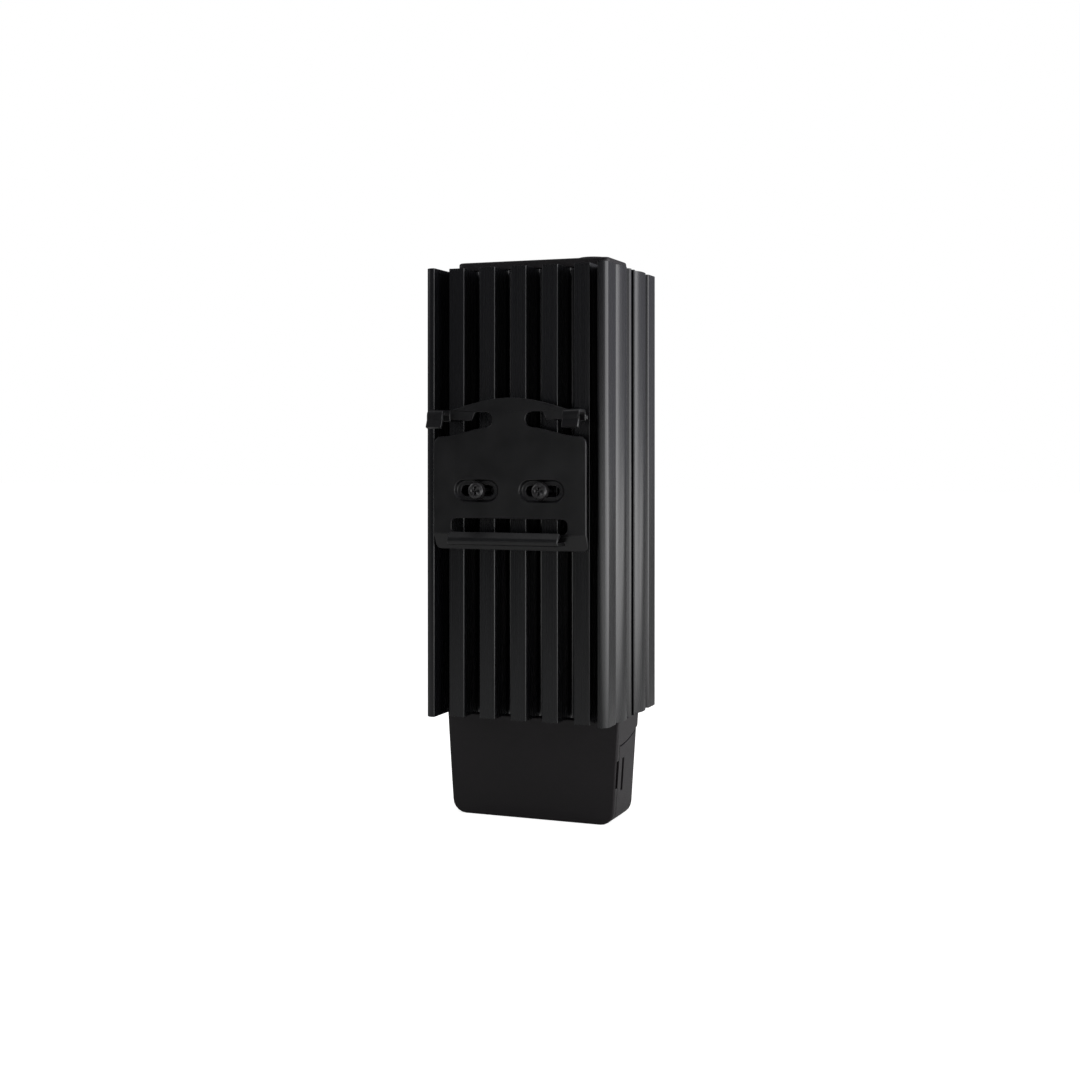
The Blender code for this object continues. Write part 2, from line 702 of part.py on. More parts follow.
def clip_lip(clip):
    """The tongue below the window, curled forward and up under the rail's lower edge."""
    middle = SHEET / 2
    wall = -HOOK_REACH - middle
    floor = -RAIL_WIDTH / 2 - LIP_FLOOR_DEPTH - middle
    foot_share = (PLATE_BEND_Z - floor) / FOOT_DROP
    root = middle + foot_share * (BODY_BACK - GAP - SHEET)
    rim_tip = LIP_RIM_Z - SHEET / 4
    line = [
        (root, floor, 0.0),
        (wall, floor, LIP_BEND),
        (wall, rim_tip - LIP_RIM_HEIGHT, LIP_BEND),
        (wall + LIP_RIM_LEAN, rim_tip, 0.0),
    ]
    lip = make_helper("clip_lip", prism([strip(line, SHEET)], along_x, -LIP_WIDTH / 2, LIP_WIDTH / 2))
    combine(clip, lip, "UNION")


def build_clip(material):
    middle = SHEET / 2
    half = CLIP_WIDTH / 2
    foot_y = BODY_BACK - GAP - SHEET + middle
    top = BAR_TOP_Z + BAR_ARCH_RISE + SHEET
    line = [
        (foot_y, PLATE_BEND_Z - FOOT_DROP - SHEET, 0.0),
        (middle, PLATE_BEND_Z, BEND_RADIUS),
        (middle, top, 0.0),
    ]
    blank = prism([strip(line, SHEET)], along_x, -half - SHEET, half + SHEET)
    clip = make_object("din_clip", blank, material)
    outline = make_helper("clip_outline", prism([clip_front_outline()], along_y, -SHEET, BODY_BACK))
    combine(clip, outline, "INTERSECT")
    window_middle = (WINDOW_TOP_Z + PLATE_BEND_Z) / 2
    window_outline = rectangle(0.0, window_middle, WINDOW_WIDTH, WINDOW_TOP_Z - PLATE_BEND_Z, WINDOW_CORNER)
    window = make_helper("clip_window", prism([window_outline], along_y, -SHEET, 2 * SHEET))
    combine(clip, window, "DIFFERENCE")
    clip_recesses(clip)
    clip_hooks(clip)
    clip_lip(clip)
    return clip


def build_clip_screws(material):
    under_head = RECESS_DEPTH - GAP
    for side, word in ((-1, "left"), (1, "right")):
        matrix = face_back(side * RIB_PITCH, under_head, RECESS_Z)
        pan_screw("clip_screw_" + word, matrix, CLIP_SCREW_LENGTH, material)


def build_top_cover(material, screw_material):
    low = BODY_TOP + GAP
    high = low + COVER_HEIGHT
    outline = rectangle(0.0, HOUSING_BACK + HOUSING_DEPTH / 2, COVER_WIDTH, HOUSING_DEPTH, COVER_CORNER)
    bm = prism([outline], along_z, low, high)
    top_edges = [edge for edge in bm.edges if min(vert.co.z for vert in edge.verts) > high - GAP]
    bevel_edges(bm, top_edges, COVER_EDGE)
    cover = make_object("top_cover", bm, material)

    additions = bmesh.new()
    plug = rectangle(0.0, BODY_MIDDLE_Y, CAVITY_WIDTH - 2 * GAP, CAVITY_DEPTH - 2 * GAP, COVER_EDGE, 2)
    add_prism(additions, [plug], along_z, BODY_TOP - COVER_PLUG_DEPTH, low + COVER_FLOOR)
    peg = circle(-PORT_X, BODY_MIDDLE_Y, SCREW_SHANK)
    add_prism(additions, [peg], along_z, BODY_TOP - COVER_PEG_LENGTH, low + COVER_FLOOR)
    wide = circle(PORT_X, BODY_MIDDLE_Y, BOSS_DIAMETER, ROUND_STEPS)
    add_prism(additions, [wide], along_z, low + COVER_FLOOR, high + BOSS_RISE - BOSS_EDGE)
    combine(cover, make_helper("top_cover_additions", additions), "UNION")

    crown = bmesh.new()
    narrow = circle(PORT_X, BODY_MIDDLE_Y, BOSS_DIAMETER - 2 * BOSS_EDGE, ROUND_STEPS)
    add_taper(crown, wide, narrow, along_z, high + BOSS_RISE - BOSS_EDGE, high + BOSS_RISE)
    combine(cover, make_helper("top_cover_crown", crown), "UNION")

    seat = low + COVER_FLOOR
    sunk = bmesh.new()
    head_hole = circle(PORT_X, BODY_MIDDLE_Y, SCREW_HEAD + 2 * GAP, ROUND_STEPS)
    add_prism(sunk, [head_hole], along_z, seat, high + 2 * BOSS_RISE)
    combine(cover, make_helper("top_cover_head_hole", sunk), "DIFFERENCE")
    through = bmesh.new()
    add_prism(through, [circle(PORT_X, BODY_MIDDLE_Y, SCREW_HOLE)], along_z, low - GAP, seat + GAP)
    combine(cover, make_helper("top_cover_shank_hole", through), "DIFFERENCE")

    matrix = face_up(PORT_X, BODY_MIDDLE_Y, seat + GAP)
    pan_screw("top_cover_screw", matrix, COVER_SCREW_LENGTH, screw_material)


def housing_front_outline(inset=0.0):
    """The housing seen from the rail, narrowing downwards, in x and z."""
    top = HOUSING_TOP_WIDTH / 2 - inset
    bottom = HOUSING_BOTTOM_WIDTH / 2 - inset
    corner = HOUSING_CORNER - inset
    corners = [
        (-bottom, HOUSING_BOTTOM + inset, corner),
        (bottom, HOUSING_BOTTOM + inset, corner),
        (top, HOUSING_TOP, 0.0),
        (-top, HOUSING_TOP, 0.0),
    ]
    return rounded(corners, steps=5)


def housing_half_width(drop):
    """Half of the housing's width at a distance below its top."""
    share = drop / HOUSING_HEIGHT
    return (HOUSING_TOP_WIDTH + (HOUSING_BOTTOM_WIDTH - HOUSING_TOP_WIDTH) * share) / 2


def seam_points(start_y, lowered):
    """The seam between collar and cover on the side: level at the back, sweeping up in front."""
    run = HOUSING_FRONT - RIM_FRONT
    radius = (run ** 2 + SEAM_RISE ** 2) / (2 * SEAM_RISE)
    low = HOUSING_TOP - SEAM_DROP - lowered
    points = []
    for index in range(SEAM_STEPS + 1):
        y = start_y + (HOUSING_FRONT + GAP - start_y) * index / SEAM_STEPS
        along = min(max(y - RIM_FRONT, 0.0), radius)
        points.append((y, low + radius - math.sqrt(radius ** 2 - along ** 2)))
    return points


def build_housing_base(material):
    bm = prism([housing_front_outline()], along_y, HOUSING_BACK, HOUSING_FRONT)
    back_edges = [edge for edge in bm.edges if max(vert.co.y for vert in edge.verts) < HOUSING_BACK + GAP]
    bevel_edges(bm, back_edges, HOUSING_EDGE)
    base = make_object("housing_base", bm, material)
    side = [
        (HOUSING_BACK - WALL, HOUSING_TOP + WALL),
        (HOUSING_BACK - WALL, HOUSING_BOTTOM - WALL),
        (RIM_FRONT, HOUSING_BOTTOM - WALL),
        *seam_points(RIM_FRONT, 0.0),
        (HOUSING_FRONT + GAP, HOUSING_TOP + WALL),
    ]
    wide = HOUSING_TOP_WIDTH / 2 + WALL
    combine(base, make_helper("housing_base_side", prism([side], along_x, -wide, wide)), "INTERSECT")

    posts = bmesh.new()
    for side_sign in (-1, 1):
        post = circle(side_sign * CLAMP_X, CLAMP_CENTRE_Z, CLAMP_POST)
        add_prism(posts, [post], along_y, HOUSING_BACK + RIM_DEPTH / 2, CLAMP_POST_END)
    combine(base, make_helper("housing_base_posts", posts), "UNION")

    cuts = bmesh.new()
    pocket_half = housing_half_width(SEAM_DROP) - WALL
    pocket_top = HOUSING_TOP - COLLAR_ROOF
    add_box(
        cuts,
        (-pocket_half, RIM_FRONT, pocket_top - SEAM_DROP),
        (pocket_half, HOUSING_FRONT - WALL, pocket_top),
    )
    latch_top = HOUSING_TOP - LATCH_TOP
    latch_inner = housing_half_width(LATCH_TOP + LATCH_HEIGHT / 2) - LATCH_DEPTH
    for side_sign in (-1, 1):
        near, far = side_sign * latch_inner, side_sign * wide
        add_box(
            cuts,
            (min(near, far), HOUSING_BACK + LATCH_WEB, latch_top - LATCH_HEIGHT),
            (max(near, far), RIM_FRONT + WALL, latch_top),
        )
        pilot = circle(side_sign * CLAMP_X, CLAMP_CENTRE_Z, SCREW_HOLE)
        add_prism(cuts, [pilot], along_y, HOUSING_BACK + RIM_DEPTH / 2, CLAMP_POST_END + GAP)
    combine(base, make_helper("housing_base_cuts", cuts), "DIFFERENCE")

    openings = bmesh.new()
    lead_way = rectangle(0.0, BODY_MIDDLE_Y, CAVITY_WIDTH, CAVITY_DEPTH, COVER_EDGE, 2)
    add_prism(openings, [lead_way], along_z, pocket_top - GAP, HOUSING_TOP + GAP)
    for side_sign in (-1, 1):
        hole = circle(side_sign * PORT_X, BODY_MIDDLE_Y, SCREW_HOLE)
        add_prism(openings, [hole], along_z, pocket_top - GAP, HOUSING_TOP + GAP)
    combine(base, make_helper("housing_base_openings", openings), "DIFFERENCE")


def build_housing_cover(material):
    start = RIM_FRONT + GAP
    bm = prism([housing_front_outline()], along_y, start, HOUSING_FRONT)
    front_edges = [edge for edge in bm.edges if min(vert.co.y for vert in edge.verts) > HOUSING_FRONT - GAP]
    bevel_edges(bm, front_edges, FRONT_EDGE, 3)
    cover = make_object("housing_cover", bm, material)
    wide = HOUSING_TOP_WIDTH / 2 + WALL
    side = [
        (start - WALL, HOUSING_BOTTOM - WALL),
        (HOUSING_FRONT + GAP, HOUSING_BOTTOM - WALL),
        *reversed(seam_points(start, GAP)),
        (start - WALL, HOUSING_TOP - SEAM_DROP - GAP),
    ]
    combine(cover, make_helper("housing_cover_side", prism([side], along_x, -wide, wide)), "INTERSECT")
    hollow = prism([housing_front_outline(WALL)], along_y, start - WALL, HOUSING_FRONT - WALL)
    combine(cover, make_helper("housing_cover_hollow", hollow), "DIFFERENCE")

    catches = bmesh.new()
    drop = LATCH_TOP + LATCH_HEIGHT / 2
    outer = housing_half_width(LATCH_TOP + LATCH_HEIGHT) - LATCH_RECESS
    inner = housing_half_width(drop) - LATCH_DEPTH + GAP
    catch_top = HOUSING_TOP - LATCH_TOP - GAP
    for side_sign in (-1, 1):
        near, far = side_sign * inner, side_sign * outer
        add_box(
            catches,
            (min(near, far), HOUSING_BACK + LATCH_WEB + GAP, catch_top - LATCH_HEIGHT + 2 * GAP),
            (max(near, far), start + GAP, catch_top),
        )
    combine(cover, make_helper("housing_cover_catches", catches), "UNION")

    cuts = bmesh.new()
    slot_y = HOUSING_BACK + RELIEF_SLOT_Y
    slot_top = HOUSING_TOP - RELIEF_SLOT_TOP
    for side_sign in (-1, 1):
        near = side_sign * (HOUSING_BOTTOM_WIDTH / 2 - 2 * WALL)
        far = side_sign * wide
        add_box(
            cuts,
            (min(near, far), slot_y - RELIEF_SLOT_WIDTH / 2, slot_top - RELIEF_SLOT_HEIGHT),
            (max(near, far), slot_y + RELIEF_SLOT_WIDTH / 2, slot_top),
        )
    entry = circle(0.0, ENTRY_Y, ENTRY_HOLE, ROUND_STEPS)
    add_prism(cuts, [entry], along_z, HOUSING_BOTTOM - WALL, HOUSING_BOTTOM + 2 * WALL)
    combine(cover, make_helper("housing_cover_cuts", cuts), "DIFFERENCE")


def build_grommet(material):
    bore = CABLE_BORE / 2
    neck = bore + GROMMET_WALL
    flange = neck + GROMMET_LIP
    seat = WALL + GAP
    profile = [
        (bore, GAP),
        (neck, GAP),
        (neck, seat),
        (flange, seat),
        (flange, seat + GROMMET_FLANGE),
        (bore, seat + GROMMET_FLANGE),
    ]
    turned("cable_grommet", profile, face_up(0.0, ENTRY_Y, HOUSING_BOTTOM), material)


def build_housing_screws(material):
    roof = HOUSING_TOP - COLLAR_ROOF
    left = face_down(-PORT_X, BODY_MIDDLE_Y, roof - GAP)
    right = face_down(PORT_X, BODY_MIDDLE_Y, LUG_Z - LUG_THICKNESS - GAP)
    pan_screw("housing_screw_left", left, HOUSING_SCREW_LENGTH, material)
    pan_screw("housing_screw_right", right, HOUSING_SCREW_LENGTH, material)


def build_cable_clamp(material, screw_material):
    back = CLAMP_POST_END + GAP
    front = back + CLAMP_BAR_THICKNESS
    outline = rectangle(0.0, CLAMP_CENTRE_Z, CLAMP_BAR_LENGTH, CLAMP_BAR_HEIGHT, COVER_EDGE)
    holes = [circle(side * CLAMP_X, CLAMP_CENTRE_Z, SCREW_HOLE) for side in (-1, 1)]
    clamp = make_object("cable_clamp", prism([outline, *holes], along_y, back, front), material)
    ridge_half = CLAMP_X - CLAMP_POST / 2 - 2 * GAP
    ridge = [
        (back + GAP, CLAMP_CENTRE_Z - CLAMP_RIDGE),
        (back - CLAMP_RIDGE, CLAMP_CENTRE_Z),
        (back + GAP, CLAMP_CENTRE_Z + CLAMP_RIDGE),
    ]
    ridge_helper = make_helper("cable_clamp_ridge", prism([ridge], along_x, -ridge_half, ridge_half))
    combine(clamp, ridge_helper, "UNION")
    for side, word in ((-1, "left"), (1, "right")):
        matrix = face_forward(side * CLAMP_X, front + GAP, CLAMP_CENTRE_Z)
        pan_screw("clamp_screw_" + word, matrix, CLAMP_SCREW_LENGTH, screw_material)


def pole_positions():
    return [(index - (POLE_COUNT - 1) / 2) * POLE_PITCH for index in range(POLE_COUNT)]


def terminal_screw_heights():
    return [TERMINAL_MIDDLE_Z + side * TERMINAL_SCREW_PITCH / 2 for side in (1, -1)]


def build_terminal_block(body_material, bush_material, screw_material):
    low = TERMINAL_TOP - TERMINAL_HEIGHT
    front = TERMINAL_BACK + TERMINAL_DEPTH
    half = POLE_COUNT * POLE_PITCH / 2 + TERMINAL_BARRIER / 2
    outline = [(-half, TERMINAL_BACK), (half, TERMINAL_BACK), (half, front)]
    for index in range(POLE_COUNT):
        centre = -pole_positions()[index]
        step = POLE_PITCH / 2 - TERMINAL_BARRIER / 2
        face = front - TERMINAL_BARRIER_RISE
        left, right = centre - step, centre + step
        outline += [(right, front), (right, face), (left, face), (left, front)]
    outline.append((-half, front))
    channel = BUSH_SIZE + 2 * GAP
    channels = [rectangle(x, BUSH_Y, channel, channel) for x in pole_positions()]
    solid = prism([outline, *channels], along_z, low, TERMINAL_TOP)
    block = make_object("terminal_block", solid, body_material)
    access = bmesh.new()
    for x in pole_positions():
        for z in terminal_screw_heights():
            hole = circle(x, z, TERMINAL_SCREW_HEAD + 2 * GAP)
            add_prism(access, [hole], along_y, BUSH_Y + BUSH_SIZE / 4, front + GAP)
    combine(block, make_helper("terminal_access", access), "DIFFERENCE")

    number = 0
    under_head = BUSH_Y + BUSH_SIZE / 2 + GAP
    for pole, x in enumerate(pole_positions(), start=1):
        size = rectangle(x, BUSH_Y, BUSH_SIZE, BUSH_SIZE)
        bore = circle(x, BUSH_Y, BUSH_BORE)
        bush_low = TERMINAL_MIDDLE_Z - BUSH_LENGTH / 2
        solid = prism([size, bore], along_z, bush_low, bush_low + BUSH_LENGTH)
        bush = make_object(f"terminal_bush_{pole}", solid, bush_material)
        taps = bmesh.new()
        for z in terminal_screw_heights():
            tap = circle(x, z, SCREW_HOLE)
            add_prism(taps, [tap], along_y, BUSH_Y, under_head)
            number += 1
            pan_screw(
                f"terminal_screw_{number}",
                face_forward(x, under_head, z),
                TERMINAL_SCREW_LENGTH - BUSH_BORE / 2 + GAP,
                screw_material,
                TERMINAL_SCREW_HEAD,
                TERMINAL_SCREW_HEAD_HEIGHT,
            )
        combine(bush, make_helper(f"terminal_taps_{pole}", taps), "DIFFERENCE")


def build_element(stone_material, plate_material, sleeve_material, spring_material):
    lowest = STACK_MIDDLE_Z - STACK_LENGTH / 2
    for index in range(STONE_COUNT):
        low = lowest + index * (STONE_LENGTH + STONE_SPACE)
        size = rectangle(0.0, SLEEVE_Y, STONE_WIDTH, STONE_THICKNESS)
        solid = prism([size], along_z, low, low + STONE_LENGTH)
        make_object(f"ptc_stone_{index + 1}", solid, stone_material)

    plate_half = STONE_WIDTH / 2
    plate_top = STACK_MIDDLE_Z + STACK_LENGTH / 2 + PLATE_OVERRUN
    plates = (
        ("contact_plate_rear", REAR_PLATE_Y, LINE_TAB_X),
        ("contact_plate_front", FRONT_PLATE_Y, NEUTRAL_TAB_X),
    )
    for name, y, tab_x in plates:
        outline = [
            (tab_x - TAB_WIDTH / 2, TAB_END_Z),
            (tab_x + TAB_WIDTH / 2, TAB_END_Z),
            (tab_x + TAB_WIDTH / 2, PLATE_BOTTOM_Z),
            (plate_half, PLATE_BOTTOM_Z),
            (plate_half, plate_top),
            (-plate_half, plate_top),
            (-plate_half, PLATE_BOTTOM_Z),
            (tab_x - TAB_WIDTH / 2, PLATE_BOTTOM_Z),
        ]
        half = PLATE_THICKNESS / 2
        make_object(name, prism([outline], along_y, y - half, y + half), plate_material)

    sleeve = [
        rectangle(0.0, SLEEVE_Y, SLEEVE_WIDTH, SLEEVE_DEPTH, SLEEVE_WALL, 2),
        rectangle(0.0, SLEEVE_Y, SLEEVE_INSIDE_WIDTH, SLEEVE_INSIDE),
    ]
    sleeve_half = STACK_LENGTH / 2 + SLEEVE_OVERRUN
    solid = prism(sleeve, along_z, STACK_MIDDLE_Z - sleeve_half, STACK_MIDDLE_Z + sleeve_half)
    make_object("insulating_sleeve", solid, sleeve_material)

    swing = (SPRING_HEIGHT - SPRING_THICKNESS) / 2
    steps = SPRING_WAVES * SPRING_WAVE_POINTS
    wave = []
    for index in range(steps + 1):
        angle = 2 * math.pi * index / SPRING_WAVE_POINTS
        z = lowest + STACK_LENGTH * index / steps
        wave.append((SPRING_Y + swing * math.cos(angle), z, 0.0))
    spring = prism([strip(wave, SPRING_THICKNESS)], along_x, -SPRING_WIDTH / 2, SPRING_WIDTH / 2)
    make_object("pressure_spring", spring, spring_material)


def build_earth_lug(material):
    """A ring terminal under the right housing screw, with its tail bent down."""
    low = LUG_Z - LUG_THICKNESS
    tail_x = PORT_X - LUG_TAIL_REACH
    ring = circle(PORT_X, BODY_MIDDLE_Y, LUG_RING, ROUND_STEPS)
    lug = make_object("earth_lug", prism([ring], along_z, low, LUG_Z), material)
    half = LUG_TAIL_WIDTH / 2
    side = [
        (tail_x, low - LUG_TAIL_DROP),
        (tail_x + LUG_THICKNESS, low - LUG_TAIL_DROP),
        (tail_x + LUG_THICKNESS, low),
        (PORT_X, low),
        (PORT_X, LUG_Z),
        (tail_x, LUG_Z),
    ]
    tail = prism([side], along_y, BODY_MIDDLE_Y - half, BODY_MIDDLE_Y + half)
    combine(lug, make_helper("earth_lug_tail", tail), "UNION")
    hole = prism([circle(PORT_X, BODY_MIDDLE_Y, SCREW_HOLE)], along_z, low - GAP, LUG_Z + GAP)
    combine(lug, make_helper("earth_lug_hole", hole), "DIFFERENCE")


def build_lead(name, start, end, material):
    """A lead that leaves its tab downwards, swings over its pole and goes straight into the bush."""
    swing = start[2] - TERMINAL_TOP - GAP
    curve = bpy.data.curves.new(name, "CURVE")
    curve.dimensions = "3D"
    curve.bevel_depth = LEAD_DIAMETER / 2
    curve.bevel_resolution = 1
    curve.use_fill_caps = True
    curve.render_resolution_u = 0
    spline = curve.splines.new("POLY")
    spline.points.add(LEAD_STEPS + 1)
    for index in range(LEAD_STEPS + 1):
        share = index / LEAD_STEPS
        ease = share * share * (3 - 2 * share)
        x = start[0] + (end[0] - start[0]) * ease
        y = start[1] + (end[1] - start[1]) * ease
        spline.points[index].co = (x, y, start[2] - swing * share, 1.0)
    spline.points[LEAD_STEPS + 1].co = (*end, 1.0)
    curve.materials.append(material)
    lead = bpy.data.objects.new(name, curve)
    bpy.context.collection.objects.link(lead)


def build_leads(line_material, neutral_material, earth_material):
    end_z = TERMINAL_MIDDLE_Z + TERMINAL_SCREW_PITCH / 4
    line_x, neutral_x, earth_x = pole_positions()
    tab_z = TAB_END_Z - GAP
    lug_z = LUG_Z - LUG_THICKNESS - LUG_TAIL_DROP - GAP
    lug_x = PORT_X - LUG_TAIL_REACH + LUG_THICKNESS / 2
    runs = (
        ("line_lead", (LINE_TAB_X, REAR_PLATE_Y, tab_z), line_x, line_material),
        ("neutral_lead", (NEUTRAL_TAB_X, FRONT_PLATE_Y, tab_z), neutral_x, neutral_material),
        ("earth_lead", (lug_x, BODY_MIDDLE_Y, lug_z), earth_x, earth_material),
    )
    for name, start, pole_x, material in runs:
        build_lead(name, start, (pole_x, BUSH_Y, end_z), material)


def main():
    clear_scene()
    anodised = make_material("black_anodised_aluminium", (0.035, 0.036, 0.040), 0.42, 0.75)
    spring_steel = make_material("blackened_spring_steel", (0.030, 0.030, 0.032), 0.38, 0.8)
    plastic = make_material("black_moulded_plastic", (0.035, 0.032, 0.034), 0.50, 0.0)
    screw_steel = make_material("blackened_screw_steel", (0.060, 0.058, 0.060), 0.35, 0.9)
    zinc_steel = make_material("zinc_plated_steel", (0.55, 0.55, 0.57), 0.35, 1.0)
    brass = make_material("brass", (0.62, 0.47, 0.20), 0.35, 1.0)
    aluminium = make_material("bare_aluminium", (0.62, 0.62, 0.63), 0.40, 1.0)
    ceramic = make_material("dark_ceramic", (0.10, 0.09, 0.085), 0.70, 0.0)
    film = make_material("amber_film", (0.45, 0.20, 0.04), 0.35, 0.0)
    terminal_plastic = make_material("pale_terminal_plastic", (0.62, 0.62, 0.60), 0.50, 0.0)
    rubber = make_material("black_rubber", (0.02, 0.02, 0.02), 0.75, 0.0)
    brown = make_material("brown_insulation", (0.14, 0.06, 0.03), 0.55, 0.0)
    blue = make_material("blue_insulation", (0.03, 0.10, 0.40), 0.55, 0.0)
    green = make_material("green_insulation", (0.10, 0.30, 0.05), 0.55, 0.0)

    build_body(anodised)
    build_clip(spring_steel)
    build_clip_screws(screw_steel)
    build_top_cover(plastic, screw_steel)
    build_housing_base(plastic)
    build_housing_cover(plastic)
    build_grommet(rubber)
    build_housing_screws(zinc_steel)
    build_cable_clamp(plastic, zinc_steel)
    build_terminal_block(terminal_plastic, brass, zinc_steel)
    build_element(ceramic, aluminium, film, spring_steel)
    build_earth_lug(zinc_steel)
    build_leads(brown, blue, green)


main()
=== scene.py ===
"""Looks of the enclosure heater: finishes, rounded edges, floor, light and camera.

Metres, +Z up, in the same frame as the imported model. The camera stands where the photograph's did,
to the right of the rail clip and a little above the object's middle.
"""

import json
import math

import bmesh
import bpy
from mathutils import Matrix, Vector


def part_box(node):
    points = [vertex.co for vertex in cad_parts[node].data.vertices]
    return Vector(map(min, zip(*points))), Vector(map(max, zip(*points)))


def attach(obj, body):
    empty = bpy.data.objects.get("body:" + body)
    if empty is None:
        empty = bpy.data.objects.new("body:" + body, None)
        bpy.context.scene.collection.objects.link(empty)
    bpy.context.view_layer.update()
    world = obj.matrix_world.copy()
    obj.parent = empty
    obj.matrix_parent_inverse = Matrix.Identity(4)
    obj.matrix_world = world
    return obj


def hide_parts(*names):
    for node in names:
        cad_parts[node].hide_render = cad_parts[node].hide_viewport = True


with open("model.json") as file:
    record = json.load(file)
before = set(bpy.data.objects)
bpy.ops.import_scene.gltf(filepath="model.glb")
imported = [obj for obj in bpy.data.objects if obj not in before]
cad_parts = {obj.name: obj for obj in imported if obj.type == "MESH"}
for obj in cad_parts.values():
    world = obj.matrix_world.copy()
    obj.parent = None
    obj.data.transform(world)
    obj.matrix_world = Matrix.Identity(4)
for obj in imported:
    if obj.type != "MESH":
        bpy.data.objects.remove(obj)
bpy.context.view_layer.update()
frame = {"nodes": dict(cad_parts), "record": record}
MM = 0.001

# Camera of the photograph: place and direction in the model's frame, focal length and horizon in pixels
CAMERA_PLACE = (0.1837, -0.4444, 0.0091)
CAMERA_DIRECTION = (-0.3636, 0.9316, 0.0)
FRAME_PIXELS = 1080
FOCAL_PIXELS = 1587
HORIZON_PIXEL = 450
SENSOR_MM = 36.0
CLIP_START = 0.01

# White background, and the plain level of light from all round
BACKGROUND_WHITE = 1.0
AMBIENT_LEVEL = 0.30

# Softboxes that face the object's middle: name, place, width, height and power in watts
OBJECT_MIDDLE = (0.0, 0.02, -0.02)
SOFTBOXES = [
    ("right_softbox", (0.91, 0.08, 0.16), 1.02, 0.60, 7.2),
    ("left_softbox", (-0.85, -0.30, 0.45), 0.50, 0.60, 1.5),
    ("top_softbox", (0.05, 0.10, 0.95), 0.80, 0.80, 2.0),
]

# What reflections meet all round: degrees from +X towards +Y, and how bright it is there
ROOM_LEVELS = [
    (-180, 0.20), (-140, 0.14), (-80, 0.13), (-45, 0.32), (-20, 0.80), (5, 1.00), (32, 1.00),
    (52, 0.60), (68, 0.32), (85, 0.18), (105, 0.09), (150, 0.07), (180, 0.20),
]
ROOM_TINT = (0.98, 0.98, 1.08)

# Floor: half its side, its paint, and what it adds to look white to the camera
FLOOR_HALF = 4.0
PALE_FLOOR = 0.80
FLOOR_GLOW = 0.80

# In reflections the paint fades to this level in front of the object, between these distances
DIM_FLOOR = 0.16
TABLE_FADE_START = 0.20
TABLE_FADE_END = 0.60

# In reflections the paint also fades by this factor behind the object, between these distances
REAR_FLOOR = 0.42
REAR_FADE_START = 0.05
REAR_FADE_END = 0.30

# In reflections the floor glows to the object's right: not at all at the first distance, fully at the second
SIDE_DIRECTION = (0.94, -0.342, 0.0)
SIDE_GLOW = 3.0
SIDE_GLOW_START = 0.12
SIDE_GLOW_END = 0.36

# The body's narrow sides in mm, as (distance from the middle, depth below the flat lands)
SLOT_WALL = (2.6, 3.0)
LAND_CORNER = (22.8, 0.0)
LAND_EDGE = [(16.8, 0.0), (16.5, 0.12), (16.2, 0.50)]
SLOT_LIP = [(2.7, 0.35), (2.4, 0.10), (2.1, 0.0), (1.45, 0.0), (1.3, 0.15), (1.3, 1.3), (2.6, 1.3)]
SIDE_MARGIN = 0.05

# The raised bead between a land's edge and the slot's lip, in mm: distances of its feet, and its arc
BEAD_FEET = (15.9, 3.3)
BEAD_RADIUS = 12.5
BEAD_PROUD = 0.5
BEAD_STEPS = 24

# How CAD copies are cleaned and rounded
MERGE_DISTANCE = 1e-6
END_TOLERANCE = 1e-5
EDGE_ANGLE = math.radians(32)
FLAT_FACE_WEIGHT = 100

# Widths of the rounded edges
BODY_ROUNDING = 0.06 * MM
SHEET_ROUNDING = 0.22 * MM
MOULDED_ROUNDING = 0.22 * MM
SLIM_ROUNDING = 0.18 * MM
RUBBER_ROUNDING = 0.20 * MM
SCREW_ROUNDING = 0.12 * MM

# Where a noise pattern is taken to begin and end
PATTERN_LOW = 0.3
PATTERN_HIGH = 0.7

# Grain of the plainer finishes: its bump, and how far it moves the roughness up and down
GRAIN_STRENGTH = 0.3
GRAIN_HEIGHT = 0.00002
GRAIN_ROUGHNESS = 0.06

# Finishes of two tones: slot, material, darker tone, paler tone, roughness, metallic, cycles per metre
MOTTLED = [
    ("zinc_steel", "zinc_plate", (0.46, 0.46, 0.48), (0.60, 0.60, 0.62), 0.32, 1.0, 1400.0),
    ("terminal_plastic", "terminal_plastic", (0.58, 0.58, 0.56), (0.64, 0.64, 0.62), 0.45, 0.0, 500.0),
    ("rubber", "grommet_rubber", (0.012, 0.012, 0.012), (0.020, 0.020, 0.020), 0.70, 0.0, 1600.0),
    ("brass", "turned_brass", (0.56, 0.42, 0.17), (0.66, 0.50, 0.22), 0.30, 1.0, 1500.0),
    ("ceramic", "sintered_ceramic", (0.085, 0.075, 0.070), (0.12, 0.105, 0.10), 0.70, 0.0, 2500.0),
    ("insulating_film", "amber_film", (0.40, 0.17, 0.03), (0.50, 0.23, 0.05), 0.25, 0.0, 300.0),
    ("brown_insulation", "brown_insulation", (0.12, 0.05, 0.025), (0.16, 0.07, 0.035), 0.50, 0.0, 700.0),
    ("blue_insulation", "blue_insulation", (0.025, 0.09, 0.36), (0.035, 0.11, 0.43), 0.50, 0.0, 700.0),
    ("green_insulation", "green_insulation", (0.09, 0.27, 0.04), (0.12, 0.33, 0.06), 0.50, 0.0, 700.0),
]


def new_tree(name, roughness, metallic=0.0, specular=0.5):
    """A material with its shader, whose plain numbers sit on the shader's own sockets."""
    material = bpy.data.materials.new(name)
    material.use_nodes = True
    shader = material.node_tree.nodes["Principled BSDF"]
    shader.inputs["Roughness"].default_value = roughness
    shader.inputs["Metallic"].default_value = metallic
    shader.inputs["Specular IOR Level"].default_value = specular
    return material, material.node_tree, shader


